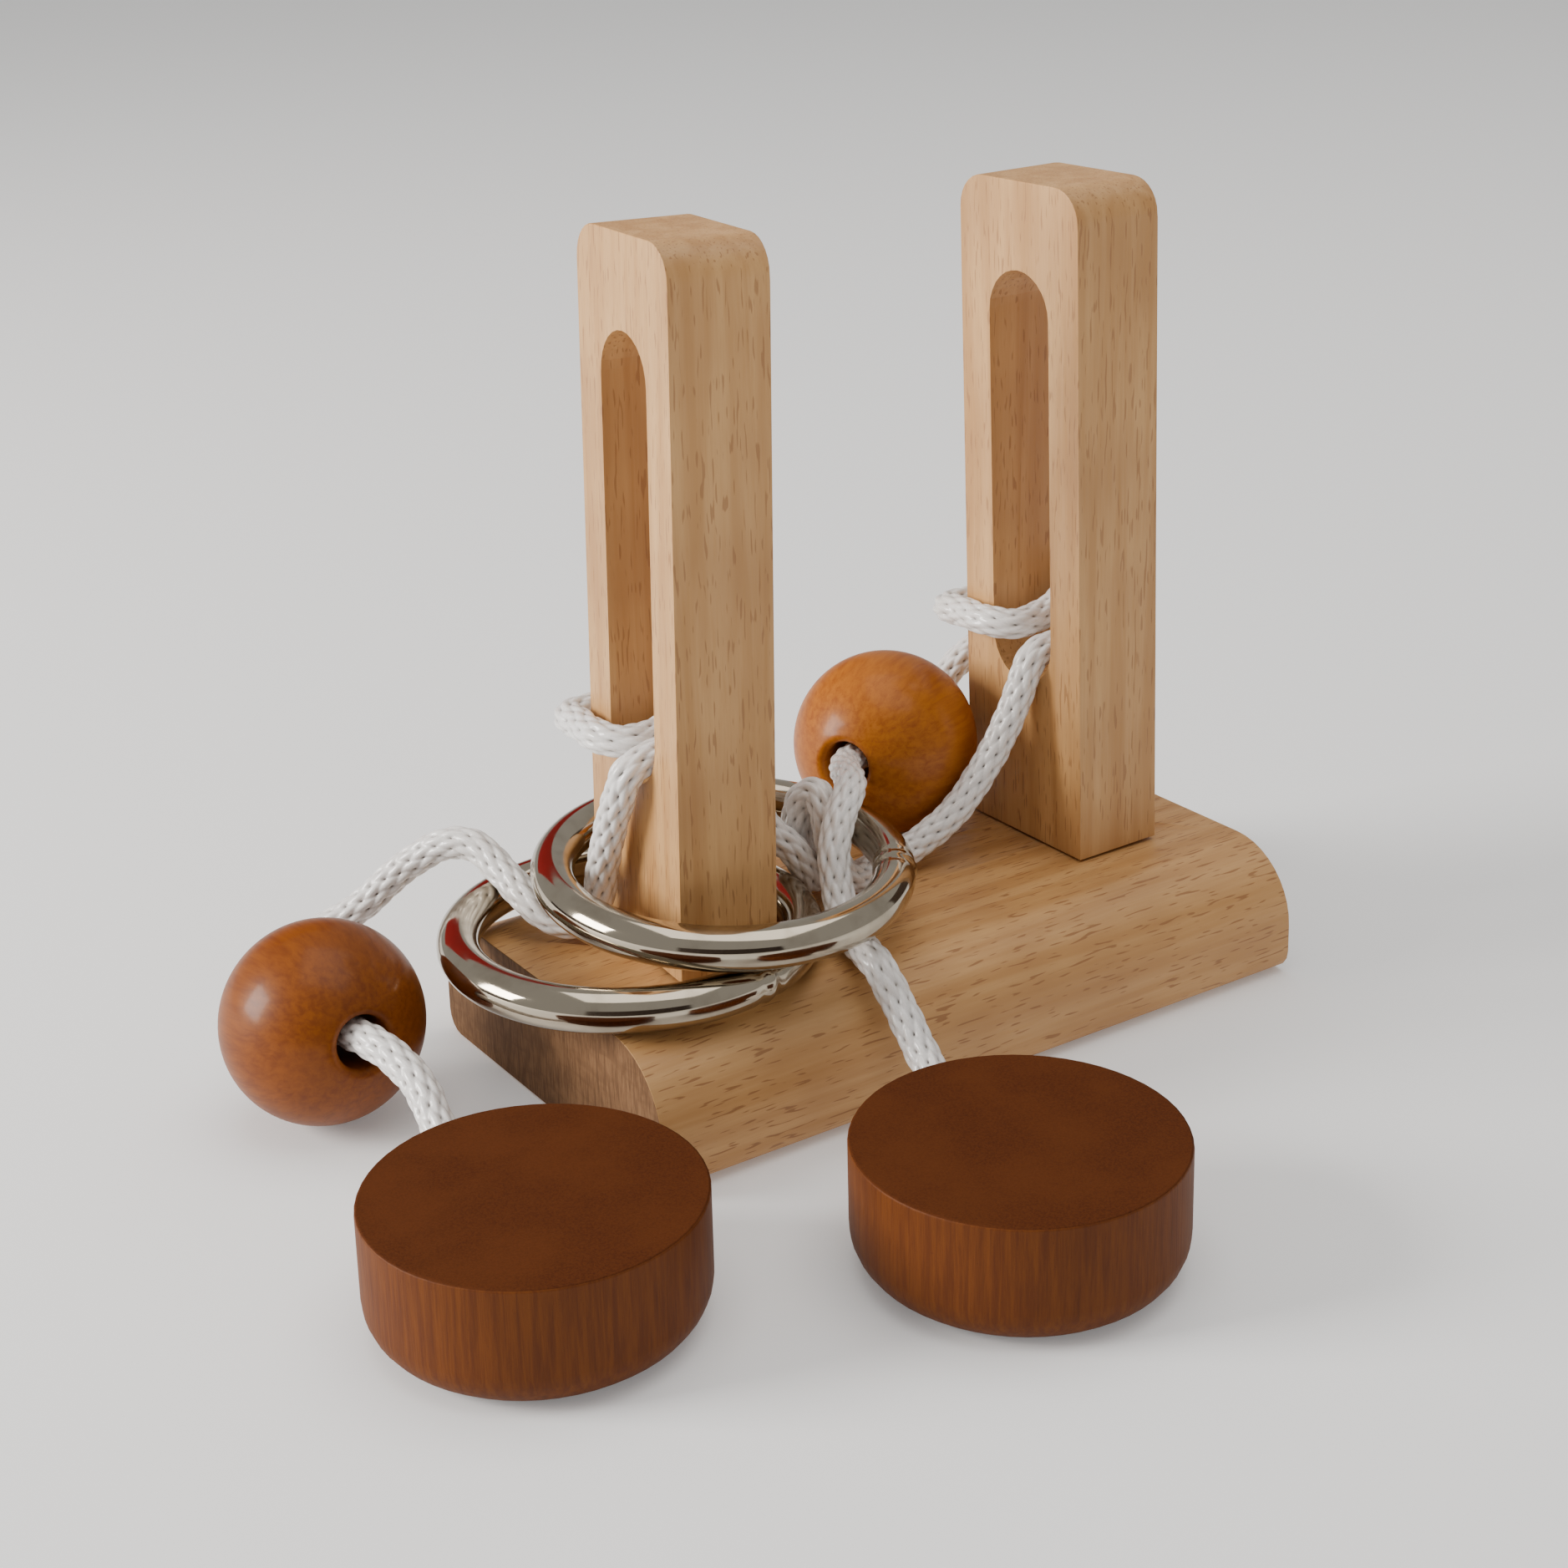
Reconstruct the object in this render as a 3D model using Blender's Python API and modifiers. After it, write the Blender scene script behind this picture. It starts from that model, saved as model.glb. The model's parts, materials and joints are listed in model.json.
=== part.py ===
"""Rope-and-ring puzzle: a slotted two-post beech stand with a cord, two steel rings,
two beads and two end discs threaded on it.

World frame: origin on the base's underside, midway between the two posts, +X from the
left post to the right post, +Z up.  The floor is z = 0.  Sizes are in metres.
"""
import math

import bmesh
import bpy
from mathutils import Euler, Matrix, Vector

MM = 0.001
GAP = 0.3 * MM                      # clearance between pieces that touch

# Driving dimensions
BASE_LENGTH = 105 * MM
BASE_WIDTH = 57 * MM
BASE_HEIGHT = 18 * MM
BASE_MIDDLE = -1.5 * MM             # along X; it reaches further beyond the left post
BASE_TOP_RADIUS = 11 * MM           # long upper edges
BASE_FOOT_RADIUS = 3 * MM           # long lower edges
POST_SPACING = 65 * MM
POST_THICKNESS = 14 * MM            # along X
POST_WIDTH = 25 * MM                # along Y
POST_HEIGHT = 95 * MM
POST_CORNER_RADIUS = 4.8 * MM
POST_LEAN = math.radians(1.0)       # the posts lean towards each other
LEFT_POST_TURN = math.radians(-4.5)
SLOT_WIDTH = 12.6 * MM
SLOT_BOTTOM = 23.5 * MM             # above the base's top
SLOT_TOP = 82.8 * MM
EDGE_SOFTENING = 0.35 * MM
DOWEL_RADIUS = 4 * MM
DOWEL_DEPTH = 10 * MM               # into each of the two pieces it joins
CORD_DIAMETER = 4.3 * MM
LEFT_TURN_HEIGHT = 47.0 * MM        # where the cord comes to each slot
LEFT_TURN_RISE = 0 * MM
RIGHT_TURN_HEIGHT = 47.8 * MM
RIGHT_TURN_RISE = 2.2 * MM
RING_RADIUS = 22.6 * MM             # to the middle of the wire
RING_WIRE_RADIUS = 2.9 * MM
BEAD_RADIUS = 13.3 * MM
BEAD_HOLE_RADIUS = 3.5 * MM
BEAD_RIM_RADIUS = 0.8 * MM
DISC_RADIUS = 19.9 * MM
DISC_HEIGHT = 15.7 * MM
DISC_FOOT_RADIUS = 5 * MM
DISC_TOP_SOFTENING = 0.35 * MM
DISC_HOLE_RADIUS = 3 * MM
DISC_HOLE_DEPTH = 12 * MM

# Places
POST_SEAT = BASE_HEIGHT + GAP + POST_THICKNESS / 2 * math.sin(POST_LEAN)
LOWER_RING_CENTRE = Vector((-40.4, 0.6, 21.2)) * MM
UPPER_RING_CENTRE = Vector((-28.0, -3.0, 28.3)) * MM
UPPER_RING_AXIS = Vector((0.01, -0.06, 1.0))
LEFT_BEAD_CENTRE = Vector((-77.9, 16.2, 13.3)) * MM
LEFT_BEAD_AXIS = Vector((0.02, -0.988, 0.154)).normalized()
RIGHT_BEAD_CENTRE = Vector((11.0, 14.0, 31.6)) * MM
RIGHT_BEAD_AXIS = Vector((-0.895, -0.443, 0.045)).normalized()
LEFT_DISC_CENTRE = Vector((-77.9, -40.4, 0.0)) * MM
LEFT_DISC_HOLE_BEARING = math.radians(87)
RIGHT_DISC_CENTRE = Vector((-26.8, -63.3, 0.0)) * MM
RIGHT_DISC_HOLE_BEARING = math.radians(73)

# The cord's hand-laid stretches, in millimetres; post_turn adds the turns round the posts
FROM_LEFT_BEAD = [
    (-78.2, 30.1, 11.2), (-77.6, 34.8, 11.4), (-72.7, 37.3, 14.0), (-64.1, 33.9, 18.9),
    (-58.3, 31.2, 24.2), (-53.7, 26.8, 28.1), (-51.1, 23.3, 28.3), (-49.8, 19.1, 26.2),
    (-48.4, 12.6, 22.9), (-46.6, 10.0, 21.2), (-44.6, 8.0, 21.0), (-43.2, 6.2, 22.4),
    (-42.8, 4.6, 25.5), (-42.8, 3.2, 30.0), (-42.5, 0.8, 37.0), (-42.2, -1.4, 41.9),
    (-41.6, -2.3, 44.6),
]
BETWEEN_POSTS = [
    (-21.4, 2.4, 52.3), (-18.3, 3.8, 51.3), (-16.8, 5.2, 47.6), (-16.9, 6.2, 42.5),
    (-17.8, 6.0, 37.4), (-18.6, 4.2, 33.2), (-17.8, 1.6, 29.6), (-15.2, -0.2, 26.6),
    (-13.3, -0.3, 23.8), (-11.8, 0.6, 21.3), (-10.3, 2.2, 20.8), (-10.1, 3.6, 22.4),
    (-11.5, 3.4, 25.2), (-12.2, 3.0, 28.8), (-11.6, 2.3, 32.2), (-10.6, 0.5, 33.3),
    (-10.7, -1.8, 31.2), (-10.7, -2.9, 27.2), (-9.4, -3.3, 23.0), (-6.0, -2.4, 20.8),
    (-1.5, -1.0, 20.9), (5.0, 0.1, 21.3), (11.6, -1.0, 25.2), (17.6, -1.9, 32.4),
    (20.8, -2.4, 38.0), (22.5, -2.8, 42.2), (23.4, -2.9, 44.5),
]
TO_RIGHT_BEAD = [
    (42.0, 2.2, 53.7), (45.4, 4.4, 52.4), (46.9, 8.0, 49.0), (45.8, 14.4, 45.4),
    (41.4, 19.4, 42.6), (34.8, 21.6, 39.8), (28.6, 22.0, 36.0), (24.6, 20.6, 31.6),
]
TO_LEFT_DISC = [
    (-77.3, 2.7, 15.8), (-76.3, -1.4, 15.2), (-75.4, -6.6, 13.2), (-75.7, -11.3, 10.5),
    (-76.5, -16.5, 8.3),
]
TO_RIGHT_DISC = [
    (-0.4, 7.6, 33.0), (-8.2, -4.2, 35.0), (-12.3, -7.4, 32.6), (-15.0, -9.9, 29.0),
    (-16.0, -12.0, 25.0), (-17.0, -15.0, 21.5), (-17.9, -19.3, 20.5), (-19.3, -25.5, 20.2),
    (-19.1, -29.6, 16.3), (-19.4, -35.8, 10.9),
]


# ---------------------------------------------------------------- scene and helpers

def clear_scene():
    for item in list(bpy.data.objects):
        bpy.data.objects.remove(item, do_unlink=True)


def new_collection(name):
    collection = bpy.data.collections.new(name)
    bpy.context.scene.collection.children.link(collection)
    return collection


def material(name, colour, roughness, metallic=0.0):
    made = bpy.data.materials.new(name)
    made.use_nodes = True
    shader = made.node_tree.nodes["Principled BSDF"]
    shader.inputs["Base Color"].default_value = (*colour, 1.0)
    shader.inputs["Roughness"].default_value = roughness
    shader.inputs["Metallic"].default_value = metallic
    return made


def link(item, collection, finish=None):
    for old in list(item.users_collection):
        old.objects.unlink(item)
    collection.objects.link(item)
    if finish is not None:
        item.data.materials.clear()
        item.data.materials.append(finish)
    return item


def hide_cutter(item):
    item.hide_render = True
    item.display_type = "WIRE"


def smooth(item):
    for face in item.data.polygons:
        face.use_smooth = True


def arc(centre, radius, start, end, steps):
    """Points on an arc from start to end, in degrees."""
    turns = [math.radians(start + (end - start) * i / steps) for i in range(steps + 1)]
    return [(centre[0] + radius * math.cos(t), centre[1] + radius * math.sin(t)) for t in turns]


def outline_solid(name, outline, thickness):
    """A flat outline in local XY, thickened evenly about z = 0 and turned into a mesh."""
    curve = bpy.data.curves.new(name, "CURVE")
    curve.dimensions = "2D"
    curve.fill_mode = "BOTH"
    curve.extrude = thickness / 2
    spline = curve.splines.new("POLY")
    spline.points.add(len(outline) - 1)
    for point, (x, y) in zip(spline.points, outline):
        point.co = (x, y, 0, 1)
    spline.use_cyclic_u = True
    drawn = bpy.data.objects.new(name + "_outline", curve)
    bpy.context.scene.collection.objects.link(drawn)
    bpy.context.view_layer.update()
    mesh = bpy.data.meshes.new_from_object(drawn)
    bpy.data.objects.remove(drawn, do_unlink=True)
    shape = bmesh.new()
    shape.from_mesh(mesh)
    bmesh.ops.remove_doubles(shape, verts=shape.verts, dist=0.001 * MM)
    bmesh.ops.recalc_face_normals(shape, faces=shape.faces)
    shape.to_mesh(mesh)
    shape.free()
    mesh.name = name
    return bpy.data.objects.new(name, mesh)


def turn_outline_upright(item):
    """Local X, Y and Z of an outline become world Y, Z and X."""
    item.data.transform(Matrix(((0, 0, 1, 0), (1, 0, 0, 0), (0, 1, 0, 0), (0, 0, 0, 1))))


def turned_solid(name, profile, steps):
    """A profile of (radius, height) points turned about local Z; one that doesn't start on
    the axis is joined back to its start."""
    mesh = bpy.data.meshes.new(name)
    count = len(profile)
    edges = [(i, i + 1) for i in range(count - 1)]
    if profile[0][0] > 0:
        edges.append((count - 1, 0))
    mesh.from_pydata([(r, 0, z) for r, z in profile], edges, [])
    item = bpy.data.objects.new(name, mesh)
    screw = item.modifiers.new("turn", "SCREW")
    screw.steps = steps
    screw.render_steps = steps
    screw.use_merge_vertices = True
    screw.merge_threshold = 0.01 * MM
    screw.use_normal_calculate = True
    screw.use_smooth_shade = True
    return item


def cylinder(name, radius, length, sides=32):
    mesh = bpy.data.meshes.new(name)
    shape = bmesh.new()
    bmesh.ops.create_cone(
        shape, cap_ends=True, segments=sides, radius1=radius, radius2=radius, depth=length
    )
    shape.to_mesh(mesh)
    shape.free()
    return bpy.data.objects.new(name, mesh)


def cut(item, cutter):
    boolean = item.modifiers.new("cut_" + cutter.name, "BOOLEAN")
    boolean.operation = "DIFFERENCE"
    boolean.solver = "EXACT"
    boolean.object = cutter


def soften_edges(item, width, segments=2):
    bevel = item.modifiers.new("soft_edges", "BEVEL")
    bevel.width = width
    bevel.segments = segments
    bevel.limit_method = "ANGLE"
    bevel.angle_limit = math.radians(50)


# ---------------------------------------------------------------- the wooden stand

def base_outline():
    half = BASE_WIDTH / 2
    top = BASE_HEIGHT - BASE_TOP_RADIUS
    foot = BASE_FOOT_RADIUS
    return (
        arc((half - BASE_TOP_RADIUS, top), BASE_TOP_RADIUS, 0, 90, 10)
        + arc((BASE_TOP_RADIUS - half, top), BASE_TOP_RADIUS, 90, 180, 10)
        + arc((foot - half, foot), foot, 180, 270, 4)
        + arc((half - foot, foot), foot, 270, 360, 4)
    )


def make_base(parts, cutters, finish):
    base = outline_solid("base", base_outline(), BASE_LENGTH)
    turn_outline_upright(base)
    link(base, parts, finish)
    base.location.x = BASE_MIDDLE
    soften_edges(base, EDGE_SOFTENING)
    for side in (-1, 1):
        hole = cylinder("base_dowel_hole_%d" % (side + 2), DOWEL_RADIUS + GAP, 2 * DOWEL_DEPTH)
        hole.location = (side * POST_SPACING / 2, 0, BASE_HEIGHT)
        hide_cutter(link(hole, cutters))
        cut(base, hole)
    return base


def post_outline():
    half = POST_WIDTH / 2
    inner = half - POST_CORNER_RADIUS
    high = POST_HEIGHT - POST_CORNER_RADIUS
    return (
        [(-half, 0), (half, 0)]
        + arc((inner, high), POST_CORNER_RADIUS, 0, 90, 7)
        + arc((-inner, high), POST_CORNER_RADIUS, 90, 180, 7)
    )


def slot_outline():
    radius = SLOT_WIDTH / 2
    return (
        arc((0, SLOT_TOP - radius), radius, 0, 180, 14)
        + arc((0, SLOT_BOTTOM + radius), radius, 180, 360, 14)
    )


def make_post(name, x, lean, turn, parts, cutters, finish):
    post = outline_solid(name, post_outline(), POST_THICKNESS)
    turn_outline_upright(post)
    link(post, parts, finish)
    post.location = (x, 0, POST_SEAT)
    post.rotation_euler = Euler((0, lean, turn))
    soften_edges(post, EDGE_SOFTENING)
    slot = outline_solid(name + "_slot_cutter", slot_outline(), 2 * POST_THICKNESS)
    turn_outline_upright(slot)
    hole = cylinder(name + "_dowel_hole", DOWEL_RADIUS + GAP, 2 * DOWEL_DEPTH)
    for cutter in (slot, hole):
        hide_cutter(link(cutter, cutters))
        cutter.parent = post
        cut(post, cutter)
    return post


def make_dowel(name, x, lean, parts, finish):
    length = 2 * DOWEL_DEPTH - 4 * GAP
    dowel = cylinder(name, DOWEL_RADIUS - GAP, length, 24)
    link(dowel, parts, finish)
    dowel.location = (x, 0, POST_SEAT)
    dowel.rotation_euler = Euler((0, lean / 2, 0))
    smooth(dowel)
    return dowel


# ---------------------------------------------------------------- loose pieces

def make_ring(name, centre, axis, parts, finish):
    bpy.ops.mesh.primitive_torus_add(
        major_radius=RING_RADIUS, minor_radius=RING_WIRE_RADIUS,
        major_segments=72, minor_segments=12,
    )
    ring = bpy.context.active_object
    ring.name = name
    ring.data.name = name
    link(ring, parts, finish)
    ring.location = centre
    ring.rotation_euler = axis.to_track_quat("Z", "Y").to_euler()
    smooth(ring)
    return ring


def bead_profile():
    """The ball's outside, its two rounded hole rims and the hole's wall."""
    rim = BEAD_RIM_RADIUS
    rim_across = BEAD_HOLE_RADIUS + rim
    rim_height = math.sqrt((BEAD_RADIUS - rim) ** 2 - rim_across ** 2)
    edge = math.degrees(math.atan2(rim_height, rim_across))
    outside = arc((0, 0), BEAD_RADIUS, edge, -edge, 22)
    low_rim = arc((rim_across, -rim_height), rim, -edge, -180, 4)
    high_rim = arc((rim_across, rim_height), rim, 180, edge, 4)
    return outside + low_rim[1:] + high_rim[:-1]


def make_bead(name, centre, axis, parts, finish):
    bead = turned_solid(name, bead_profile(), 40)
    link(bead, parts, finish)
    bead.location = centre
    bead.rotation_euler = axis.to_track_quat("Z", "Y").to_euler()
    return bead


def disc_profile():
    top = DISC_TOP_SOFTENING
    foot = DISC_FOOT_RADIUS
    return (
        [(0, DISC_HEIGHT)]
        + arc((DISC_RADIUS - top, DISC_HEIGHT - top), top, 90, 0, 2)
        + arc((DISC_RADIUS - foot, foot), foot, 0, -90, 6)
        + [(0, 0)]
    )


def make_disc(name, centre, bearing, parts, cutters, finish):
    disc = turned_solid(name, disc_profile(), 56)
    link(disc, parts, finish)
    disc.location = centre
    disc.rotation_euler = Euler((0, 0, bearing))
    hole = cylinder(name + "_hole_cutter", DISC_HOLE_RADIUS, 2 * DISC_HOLE_DEPTH, 20)
    hole.location = (DISC_RADIUS, 0, DISC_HEIGHT / 2)
    hole.rotation_euler = Euler((0, math.radians(90), 0))
    hide_cutter(link(hole, cutters))
    hole.parent = disc
    cut(disc, hole)
    return disc


# ---------------------------------------------------------------- the cord

def post_turn(side, turn, height, rise):
    """One turn round a post's far jamb, starting where the cord comes to the slot at the
    given height and back at the post's left face that much higher."""
    clear = CORD_DIAMETER / 2 + 0.2 * MM
    face = POST_THICKNESS / 2
    outside = face + clear
    back = POST_WIDTH / 2 + clear
    jamb = SLOT_WIDTH / 2 - clear
    first_pass = [
        (-face, -0.75 * jamb, -1.1 * MM), (0.0, -0.9 * jamb, 0.0), (face, -0.85 * jamb, 0.0),
    ]
    round_the_jamb = [
        (outside, 0.0, 0.2 * rise), (outside, 0.7 * back, 0.35 * rise),
        (face + 0.85 * clear, back - 0.15 * clear, 0.5 * rise), (0.0, back, 0.7 * rise),
        (-face - 0.85 * clear, back - 0.15 * clear, 0.85 * rise),
        (-outside, 0.7 * back, rise), (-outside, 0.3 * back, rise + 0.2 * MM),
    ]
    second_pass = [
        (-face, 0.42 * jamb, rise), (-0.2 * face, 0.42 * jamb, rise + 0.6 * MM),
        (face, 0.38 * jamb, rise + 4.8 * MM),
    ]
    middle = Vector((side * POST_SPACING / 2, 0, 0))
    about = Matrix.Rotation(turn, 3, "Z")
    lean_shift = -side * math.tan(POST_LEAN) * (height - BASE_HEIGHT)
    points = []
    for x, y, up in first_pass + round_the_jamb + second_pass:
        level = Vector((lean_shift, 0, height + up))
        points.append(middle + about @ Vector((x, y, 0)) + level)
    return points


def in_metres(points):
    return [Vector(point) * MM for point in points]


def smooth_route(points, spacing):
    """Evenly spaced points on the centripetal Catmull-Rom curve through the given points."""
    ends = [points[0] * 2 - points[1]] + list(points) + [points[-1] * 2 - points[-2]]
    fine = []
    for a, b, c, d in zip(ends, ends[1:], ends[2:], ends[3:]):
        t1 = (b - a).length ** 0.5
        t2 = t1 + (c - b).length ** 0.5
        t3 = t2 + (d - c).length ** 0.5
        for i in range(24):
            t = t1 + (t2 - t1) * i / 24
            ab = a.lerp(b, t / t1)
            bc = b.lerp(c, (t - t1) / (t2 - t1))
            cd = c.lerp(d, (t - t2) / (t3 - t2))
            abc = ab.lerp(bc, t / t2)
            bcd = bc.lerp(cd, (t - t1) / (t3 - t1))
            fine.append(abc.lerp(bcd, (t - t1) / (t2 - t1)))
    fine.append(points[-1].copy())
    lengths = [0.0]
    for a, b in zip(fine, fine[1:]):
        lengths.append(lengths[-1] + (b - a).length)
    steps = max(2, round(lengths[-1] / spacing))
    placed = []
    at = 0
    for i in range(steps + 1):
        want = lengths[-1] * i / steps
        while at < len(fine) - 2 and lengths[at + 1] < want:
            at += 1
        share = (want - lengths[at]) / max(lengths[at + 1] - lengths[at], 1e-9)
        placed.append(fine[at].lerp(fine[at + 1], min(share, 1.0)))
    return placed


def make_cord(name, route, spacing, parts, finish):
    curve = bpy.data.curves.new(name, "CURVE")
    curve.dimensions = "3D"
    curve.bevel_depth = CORD_DIAMETER / 2
    curve.bevel_resolution = 2
    curve.use_fill_caps = True
    spline = curve.splines.new("POLY")
    placed = smooth_route(route, spacing)
    spline.points.add(len(placed) - 1)
    for point, place in zip(spline.points, placed):
        point.co = (*place, 1)
    spline.use_smooth = True
    cord = bpy.data.objects.new(name, curve)
    link(cord, parts, finish)
    return cord


def disc_end(centre, bearing):
    """Where a cord enters a disc's side hole and where it ends inside."""
    outward = Vector((math.cos(bearing), math.sin(bearing), 0))
    middle = centre + Vector((0, 0, DISC_HEIGHT / 2))
    return [
        middle + outward * (DISC_RADIUS - 0.5 * MM),
        middle + outward * (DISC_RADIUS - DISC_HOLE_DEPTH + 2 * MM),
    ]


def make_cords(parts, finish):
    left_wrap = post_turn(-1, LEFT_POST_TURN, LEFT_TURN_HEIGHT, LEFT_TURN_RISE)
    right_wrap = post_turn(1, 0.0, RIGHT_TURN_HEIGHT, RIGHT_TURN_RISE)
    main_route = (
        [LEFT_BEAD_CENTRE - LEFT_BEAD_AXIS * GAP / 2] + in_metres(FROM_LEFT_BEAD)
        + left_wrap + in_metres(BETWEEN_POSTS) + right_wrap + in_metres(TO_RIGHT_BEAD)
        + [RIGHT_BEAD_CENTRE - RIGHT_BEAD_AXIS * GAP / 2]
    )
    left_route = (
        [LEFT_BEAD_CENTRE + LEFT_BEAD_AXIS * GAP / 2] + in_metres(TO_LEFT_DISC)
        + disc_end(LEFT_DISC_CENTRE, LEFT_DISC_HOLE_BEARING)
    )
    right_route = (
        [RIGHT_BEAD_CENTRE + RIGHT_BEAD_AXIS * GAP / 2] + in_metres(TO_RIGHT_DISC)
        + disc_end(RIGHT_DISC_CENTRE, RIGHT_DISC_HOLE_BEARING)
    )
    make_cord("cord_main", main_route, 3.4 * MM, parts, finish)
    make_cord("cord_to_left_disc", left_route, 4 * MM, parts, finish)
    make_cord("cord_to_right_disc", right_route, 4 * MM, parts, finish)


# ---------------------------------------------------------------- assembly

def main():
    clear_scene()
    parts = new_collection("rope_and_ring_puzzle")
    cutters = new_collection("cutters")
    half = POST_SPACING / 2

    beech = material("beech_base", (0.55, 0.33, 0.16), 0.5)
    make_base(parts, cutters, beech)
    left_finish = material("beech_left_post", (0.58, 0.36, 0.18), 0.5)
    right_finish = material("beech_right_post", (0.60, 0.38, 0.20), 0.5)
    make_post("left_post", -half, POST_LEAN, LEFT_POST_TURN, parts, cutters, left_finish)
    make_post("right_post", half, -POST_LEAN, 0.0, parts, cutters, right_finish)
    pin = material("dowel_beech", (0.60, 0.42, 0.24), 0.6)
    make_dowel("left_post_dowel", -half, POST_LEAN, parts, pin)
    make_dowel("right_post_dowel", half, -POST_LEAN, parts, pin)

    upright = Vector((0, 0, 1))
    steel = material("chromed_steel_lower", (0.75, 0.74, 0.72), 0.12, 1.0)
    make_ring("lower_ring", LOWER_RING_CENTRE, upright, parts, steel)
    steel_2 = material("chromed_steel_upper", (0.75, 0.74, 0.72), 0.12, 1.0)
    make_ring("upper_ring", UPPER_RING_CENTRE, UPPER_RING_AXIS, parts, steel_2)

    amber = material("amber_lacquer_left", (0.42, 0.17, 0.04), 0.3)
    make_bead("left_bead", LEFT_BEAD_CENTRE, LEFT_BEAD_AXIS, parts, amber)
    amber_2 = material("amber_lacquer_right", (0.42, 0.17, 0.04), 0.3)
    make_bead("right_bead", RIGHT_BEAD_CENTRE, RIGHT_BEAD_AXIS, parts, amber_2)

    stain = material("brown_stain_left", (0.13, 0.045, 0.015), 0.45)
    make_disc("left_disc", LEFT_DISC_CENTRE, LEFT_DISC_HOLE_BEARING, parts, cutters, stain)
    stain_2 = material("brown_stain_right", (0.13, 0.045, 0.015), 0.45)
    make_disc("right_disc", RIGHT_DISC_CENTRE, RIGHT_DISC_HOLE_BEARING, parts, cutters, stain_2)

    make_cords(parts, material("white_braid", (0.80, 0.79, 0.77), 0.75))


main()
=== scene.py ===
"""Looks for the rope-and-ring puzzle: beech stand, braided cord, chromed rings, lacquered
beads and stained discs, in metres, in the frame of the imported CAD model."""
import json
import math

import bmesh
import bpy
import numpy as np
from mathutils import Matrix, Vector


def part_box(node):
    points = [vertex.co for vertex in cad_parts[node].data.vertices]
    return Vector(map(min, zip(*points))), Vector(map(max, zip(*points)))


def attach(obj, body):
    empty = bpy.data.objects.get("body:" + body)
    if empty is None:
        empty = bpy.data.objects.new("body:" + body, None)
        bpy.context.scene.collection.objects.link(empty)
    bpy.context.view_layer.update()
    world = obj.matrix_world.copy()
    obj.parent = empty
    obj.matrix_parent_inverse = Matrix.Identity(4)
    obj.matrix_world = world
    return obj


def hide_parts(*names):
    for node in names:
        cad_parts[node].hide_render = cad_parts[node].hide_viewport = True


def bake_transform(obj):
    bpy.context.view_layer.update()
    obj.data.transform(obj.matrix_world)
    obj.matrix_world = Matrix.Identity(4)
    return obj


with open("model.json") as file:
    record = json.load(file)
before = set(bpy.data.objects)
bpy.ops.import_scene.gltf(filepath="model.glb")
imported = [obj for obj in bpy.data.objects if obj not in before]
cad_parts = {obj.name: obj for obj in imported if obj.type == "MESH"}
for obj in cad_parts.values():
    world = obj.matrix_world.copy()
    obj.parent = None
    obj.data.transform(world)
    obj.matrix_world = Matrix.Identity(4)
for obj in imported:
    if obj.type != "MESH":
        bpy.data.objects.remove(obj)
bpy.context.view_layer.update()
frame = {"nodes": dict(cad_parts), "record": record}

MM = 0.001

# Camera
CAMERA_PLACE = Vector((-0.19463, -0.26879, 0.16689))
CAMERA_BEARING = math.radians(56.27)        # of the view direction, from +X towards +Y
CAMERA_DROP = math.radians(16.834)          # below the horizon
CAMERA_ROLL = math.radians(-1.418)
CAMERA_LENS = 59.16
CAMERA_SHIFT_UP = -0.15

# Sizes that part.py also uses
POST_SPACING = 65 * MM
POST_THICKNESS = 14 * MM
POST_WIDTH = 25 * MM
POST_LEAN = math.radians(1.0)
LEFT_POST_TURN = math.radians(-4.5)
SLOT_WIDTH = 12.6 * MM
BASE_HEIGHT = 18 * MM
CORD_DIAMETER = 4.3 * MM
LEFT_TURN_HEIGHT = 47.0 * MM
LEFT_TURN_RISE = 0 * MM
RIGHT_TURN_HEIGHT = 47.8 * MM
RIGHT_TURN_RISE = 2.2 * MM
RING_RADIUS = 22.6 * MM
RING_WIRE_RADIUS = 2.9 * MM
UPPER_RING_AXIS = Vector((0.01, -0.06, 1.0)).normalized()
BEAD_RADIUS = 13.3 * MM
BEAD_HOLE_RADIUS = 3.5 * MM
LEFT_BEAD_AXIS = Vector((0.02, -0.988, 0.154)).normalized()
RIGHT_BEAD_AXIS = Vector((-0.895, -0.443, 0.045)).normalized()
DISC_RADIUS = 19.9 * MM
DISC_HEIGHT = 15.7 * MM
DISC_HOLE_DEPTH = 12 * MM
LEFT_DISC_HOLE_BEARING = math.radians(87)
RIGHT_DISC_HOLE_BEARING = math.radians(73)
GAP = 0.3 * MM

# The cord's listed stretches
FROM_LEFT_BEAD = [
    (-0.0782, 0.0301, 0.0112), (-0.0776, 0.0348, 0.0114), (-0.0727, 0.0373, 0.0140),
    (-0.0641, 0.0339, 0.0189), (-0.0583, 0.0312, 0.0242), (-0.0537, 0.0268, 0.0281),
    (-0.0511, 0.0233, 0.0283), (-0.0498, 0.0191, 0.0262), (-0.0484, 0.0126, 0.0229),
    (-0.0466, 0.0100, 0.0212), (-0.0446, 0.0080, 0.0210), (-0.0432, 0.0062, 0.0224),
    (-0.0428, 0.0046, 0.0255), (-0.0428, 0.0032, 0.0300), (-0.0425, 0.0008, 0.0370),
    (-0.0422, -0.0014, 0.0419), (-0.0416, -0.0023, 0.0446),
]
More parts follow.
